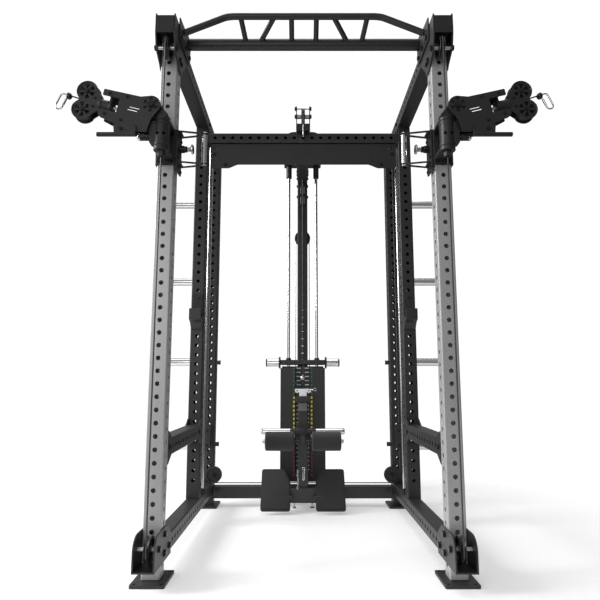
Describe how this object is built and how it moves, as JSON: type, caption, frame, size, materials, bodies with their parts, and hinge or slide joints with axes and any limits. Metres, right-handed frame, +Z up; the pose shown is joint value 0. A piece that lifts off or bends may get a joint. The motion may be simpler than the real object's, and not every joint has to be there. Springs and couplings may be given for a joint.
{
  "type": "power cage",
  "caption": "Power cage with side cable arms on swivelling trolleys, a pull-up bar, a central weight stack with a lat pulley, knee rollers, bar hooks and plate storage horns.",
  "frame": {"origin": "centre of the bounding box on the floor, Z = 0 at the underside of the foot plates", "axes": "+Z up, -Y towards the front where the person steps in, +X to the right seen from the front"},
  "size_m": [2.0028, 1.912, 2.3495],
  "materials": {
    "grey_paint": "silver-grey powder coat",
    "black_paint": "satin black powder coat",
    "chrome": "polished chrome",
    "foam": "closed-cell foam",
    "nylon": "moulded nylon",
    "cable": "coated wire rope",
    "cast_iron": "black painted iron plates"
  },
  "bodies": {
    "frame": {"upright_front_left": "grey_paint", "upright_front_right": "grey_paint", "upright_middle_left": "black_paint", "upright_middle_right": "black_paint", "upright_rear_left": "black_paint", "upright_rear_right": "black_paint", "base_rail_left": "black_paint", "base_rail_right": "black_paint", "lower_rail_left": "black_paint", "lower_rail_right": "black_paint", "top_beam_left": "black_paint", "top_beam_right": "black_paint", "j_hook_left": "black_paint", "j_hook_right": "black_paint", "arm_cable_left": "cable", "arm_cable_right": "cable", "pull_up_bar": "black_paint", "top_crossbeam": "black_paint", "header_panel": "black_paint", "low_frame": "black_paint", "centre_mast": "black_paint", "guide_rods": "chrome", "stack_shroud": "black_paint", "weight_stack": "cast_iron", "stack_cable": "cable", "lat_cable": "cable"},
    "trolley_left": {"trolley_left": "black_paint"},
    "trolley_pin_left": {"trolley_pin_left": "chrome"},
    "swivel_head_left": {"swivel_head_left": "black_paint"},
    "shoulder_pulley_left": {"shoulder_pulley_left": "nylon"},
    "arm_left": {"arm_left": "black_paint"},
    "tip_block_left": {"tip_block_left": "black_paint"},
    "tip_pulley_upper_left": {"tip_pulley_upper_left": "nylon"},
    "tip_pulley_lower_left": {"tip_pulley_lower_left": "nylon"},
    "carabiner_left": {"carabiner_left": "chrome"},
    "top_pulley_left": {"top_pulley_left": "nylon"},
    "bottom_pulley_left": {"bottom_pulley_left": "nylon"},
    "disc_pulley_left": {"disc_pulley_left": "nylon"},
    "floating_block_left": {"floating_block_left": "black_paint"},
    "knee_roller_left": {"knee_roller_left": "foam"},
    "trolley_right": {"trolley_right": "black_paint"},
    "trolley_pin_right": {"trolley_pin_right": "chrome"},
    "swivel_head_right": {"swivel_head_right": "black_paint"},
    "shoulder_pulley_right": {"shoulder_pulley_right": "nylon"},
    "arm_right": {"arm_right": "black_paint"},
    "tip_block_right": {"tip_block_right": "black_paint"},
    "tip_pulley_upper_right": {"tip_pulley_upper_right": "nylon"},
    "tip_pulley_lower_right": {"tip_pulley_lower_right": "nylon"},
    "carabiner_right": {"carabiner_right": "chrome"},
    "top_pulley_right": {"top_pulley_right": "nylon"},
    "bottom_pulley_right": {"bottom_pulley_right": "nylon"},
    "disc_pulley_right": {"disc_pulley_right": "nylon"},
    "floating_block_right": {"floating_block_right": "black_paint"},
    "knee_roller_right": {"knee_roller_right": "foam"},
    "lift_stack": {"lift_stack": "cast_iron"},
    "selector_pin": {"selector_pin": "chrome"},
    "knee_carriage": {"knee_carriage": "black_paint"},
    "lat_pulley": {"lat_pulley": "nylon"},
    "lat_carabiner": {"lat_carabiner": "chrome"},
    "stack_pulley": {"stack_pulley": "nylon"}
  },
  "joints": [
    {"name": "stack_lift", "type": "slide", "parent": "frame", "child": "lift_stack", "axis": [0, 0, 1], "range_m": [0, 1.2], "deforming": ["lat_cable", "stack_cable"]},
    {"name": "selector_pin_pull", "type": "slide", "parent": "lift_stack", "child": "selector_pin", "axis": [0, -1, 0], "range_m": [0, 0.1]},
    {"name": "stack_pulley_spin", "type": "hinge", "parent": "frame", "child": "stack_pulley", "pos_m": [0, 0.886, 1.758], "axis": [0, 1, 0], "continuous": true},
    {"name": "lat_pull", "type": "slide", "parent": "frame", "child": "lat_carabiner", "axis": [0, 0, -1], "range_m": [0, 1.2]},
    {"name": "lat_pulley_spin", "type": "hinge", "parent": "frame", "child": "lat_pulley", "pos_m": [0, -0.034, 2.226], "axis": [1, 0, 0], "continuous": true},
    {"name": "knee_height", "type": "slide", "parent": "frame", "child": "knee_carriage", "axis": [0, 0, 1], "range_m": [-0.1, 0.075]},
    {"name": "knee_roller_left_spin", "type": "hinge", "parent": "knee_carriage", "child": "knee_roller_left", "pos_m": [-0.1325, 0.241, 0.405], "axis": [1, 0, 0], "continuous": true},
    {"name": "knee_roller_right_spin", "type": "hinge", "parent": "knee_carriage", "child": "knee_roller_right", "pos_m": [0.1325, 0.241, 0.405], "axis": [1, 0, 0], "continuous": true},
    {"name": "trolley_left_height", "type": "slide", "parent": "frame", "child": "trolley_left", "axis": [0, 0, 1], "range_m": [-0.95, 0.15]},
    {"name": "trolley_pin_left_push", "type": "slide", "parent": "trolley_left", "child": "trolley_pin_left", "axis": [-1, 0, 0], "range_m": [0, 0.014]},
    {"name": "swivel_left_turn", "type": "hinge", "parent": "trolley_left", "child": "swivel_head_left", "pos_m": [-0.567, -0.899, 1.661], "axis": [0, 0, 1], "range_deg": [-20, 100]},
    {"name": "shoulder_pulley_left_spin", "type": "hinge", "parent": "swivel_head_left", "child": "shoulder_pulley_left", "pos_m": [-0.605, -0.899, 1.821], "axis": [0, 1, 0], "continuous": true},
    {"name": "arm_left_tilt", "type": "hinge", "parent": "swivel_head_left", "child": "arm_left", "pos_m": [-0.605, -0.899, 1.821], "axis": [0, 1, 0], "range_deg": [-20, 40]},
    {"name": "tip_left_roll", "type": "hinge", "parent": "arm_left", "child": "tip_block_left", "pos_m": [-0.76517, -0.899, 1.82514], "axis": [-0.9744, 0, 0.225], "continuous": true},
    {"name": "tip_pulley_upper_left_spin", "type": "hinge", "parent": "tip_block_left", "child": "tip_pulley_upper_left", "pos_m": [-0.86553, -0.899, 1.88833], "axis": [0, 1, 0], "continuous": true},
    {"name": "tip_pulley_lower_left_spin", "type": "hinge", "parent": "tip_block_left", "child": "tip_pulley_lower_left", "pos_m": [-0.88308, -0.899, 1.81233], "axis": [0, 1, 0], "continuous": true},
    {"name": "carabiner_left_swing", "type": "hinge", "parent": "tip_block_left", "child": "carabiner_left", "pos_m": [-0.94611, -0.899, 1.87717], "axis": [0, 1, 0], "range_deg": [-20, 60]},
    {"name": "top_pulley_left_spin", "type": "hinge", "parent": "frame", "child": "top_pulley_left", "pos_m": [-0.567, -0.855, 2.115], "axis": [1, 0, 0], "continuous": true},
    {"name": "bottom_pulley_left_spin", "type": "hinge", "parent": "frame", "child": "bottom_pulley_left", "pos_m": [-0.567, -0.854, 0.137], "axis": [1, 0, 0], "continuous": true},
    {"name": "floating_block_left_lift", "type": "slide", "parent": "frame", "child": "floating_block_left", "axis": [0, 0, 1], "range_m": [0, 1.2]},
    {"name": "disc_pulley_left_spin", "type": "hinge", "parent": "frame", "child": "disc_pulley_left", "pos_m": [-0.53, 0.416, 0.193], "axis": [0, 1, 0], "continuous": true},
    {"name": "trolley_right_height", "type": "slide", "parent": "frame", "child": "trolley_right", "axis": [0, 0, 1], "range_m": [-0.95, 0.15]},
    {"name": "trolley_pin_right_push", "type": "slide", "parent": "trolley_right", "child": "trolley_pin_right", "axis": [1, 0, 0], "range_m": [0, 0.014]},
    {"name": "swivel_right_turn", "type": "hinge", "parent": "trolley_right", "child": "swivel_head_right", "pos_m": [0.567, -0.899, 1.661], "axis": [0, 0, -1], "range_deg": [-20, 100]},
    {"name": "shoulder_pulley_right_spin", "type": "hinge", "parent": "swivel_head_right", "child": "shoulder_pulley_right", "pos_m": [0.605, -0.899, 1.821], "axis": [0, 1, 0], "continuous": true},
    {"name": "arm_right_tilt", "type": "hinge", "parent": "swivel_head_right", "child": "arm_right", "pos_m": [0.605, -0.899, 1.821], "axis": [0, -1, 0], "range_deg": [-20, 40]},
    {"name": "tip_right_roll", "type": "hinge", "parent": "arm_right", "child": "tip_block_right", "pos_m": [0.76517, -0.899, 1.82514], "axis": [0.9744, 0, 0.225], "continuous": true},
    {"name": "tip_pulley_upper_right_spin", "type": "hinge", "parent": "tip_block_right", "child": "tip_pulley_upper_right", "pos_m": [0.86553, -0.899, 1.88833], "axis": [0, 1, 0], "continuous": true},
    {"name": "tip_pulley_lower_right_spin", "type": "hinge", "parent": "tip_block_right", "child": "tip_pulley_lower_right", "pos_m": [0.88308, -0.899, 1.81233], "axis": [0, 1, 0], "continuous": true},
    {"name": "carabiner_right_swing", "type": "hinge", "parent": "tip_block_right", "child": "carabiner_right", "pos_m": [0.94611, -0.899, 1.87717], "axis": [0, -1, 0], "range_deg": [-20, 60]},
    {"name": "top_pulley_right_spin", "type": "hinge", "parent": "frame", "child": "top_pulley_right", "pos_m": [0.567, -0.855, 2.115], "axis": [1, 0, 0], "continuous": true},
    {"name": "bottom_pulley_right_spin", "type": "hinge", "parent": "frame", "child": "bottom_pulley_right", "pos_m": [0.567, -0.854, 0.137], "axis": [1, 0, 0], "continuous": true},
    {"name": "floating_block_right_lift", "type": "slide", "parent": "frame", "child": "floating_block_right", "axis": [0, 0, 1], "range_m": [0, 1.2]},
    {"name": "disc_pulley_right_spin", "type": "hinge", "parent": "frame", "child": "disc_pulley_right", "pos_m": [0.53, 0.416, 0.193], "axis": [0, -1, 0], "continuous": true}
  ],
  "couplings": [
    {"joint": "stack_pulley_spin", "follows": "stack_lift", "rad_per_m": 18.518},
    {"joint": "lat_pull", "follows": "stack_lift", "ratio": 1},
    {"joint": "lat_pulley_spin", "follows": "stack_lift", "rad_per_m": 23.256},
    {"joint": "floating_block_left_lift", "follows": "stack_lift", "ratio": 1},
    {"joint": "disc_pulley_left_spin", "follows": "stack_lift", "rad_per_m": 21.739},
    {"joint": "floating_block_right_lift", "follows": "stack_lift", "ratio": 1},
    {"joint": "disc_pulley_right_spin", "follows": "stack_lift", "rad_per_m": 21.739}
  ]
}
